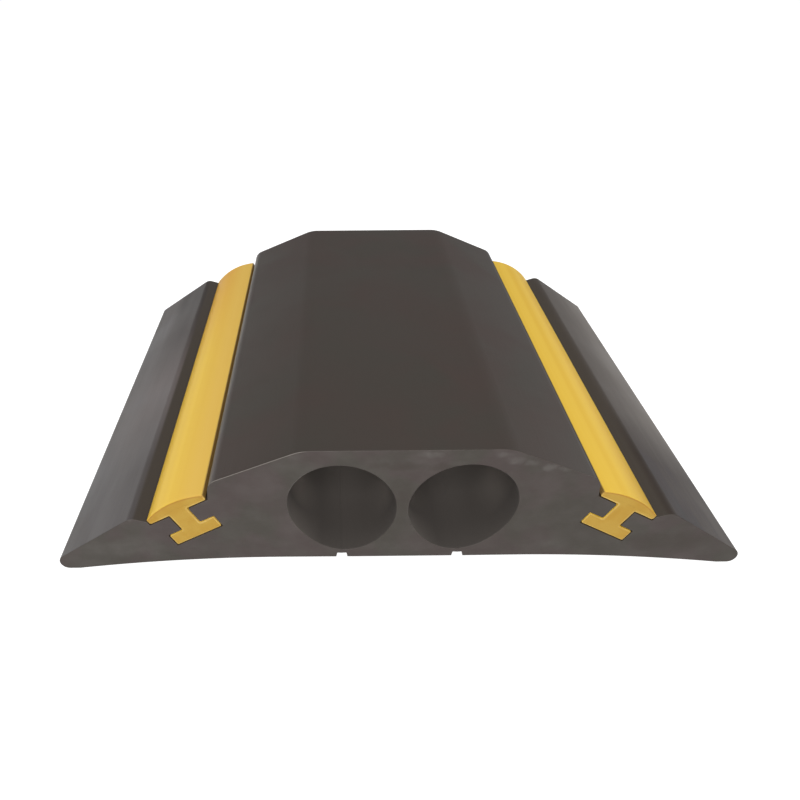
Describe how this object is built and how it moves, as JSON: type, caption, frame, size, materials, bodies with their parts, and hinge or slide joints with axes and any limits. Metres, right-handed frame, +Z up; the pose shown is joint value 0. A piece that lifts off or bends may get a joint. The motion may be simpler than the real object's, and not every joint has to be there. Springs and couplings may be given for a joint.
{
  "type": "floor cord cover",
  "caption": "Low ramped rubber cover that carries cords across a floor in round channels slit open underneath, with a yellow hazard strip along each shoulder.",
  "frame": {"origin": "on the floor plane, at the middle of the width and of the length", "axes": "+X across the section from the left ramp to the right ramp, +Y along the extrusion and its channels, +Z up from the floor"},
  "size_m": [0.211, 0.166, 0.0459],
  "materials": {
    "black_rubber": "matte, smooth as extruded, with a slightly rougher and lighter cut on the two ends",
    "yellow_rubber": "satin, smooth as extruded, with duller cut ends"
  },
  "bodies": {
    "root": {"cover_body": "black_rubber", "hazard_strip_left": "yellow_rubber", "hazard_strip_right": "yellow_rubber"}
  },
  "joints": []
}
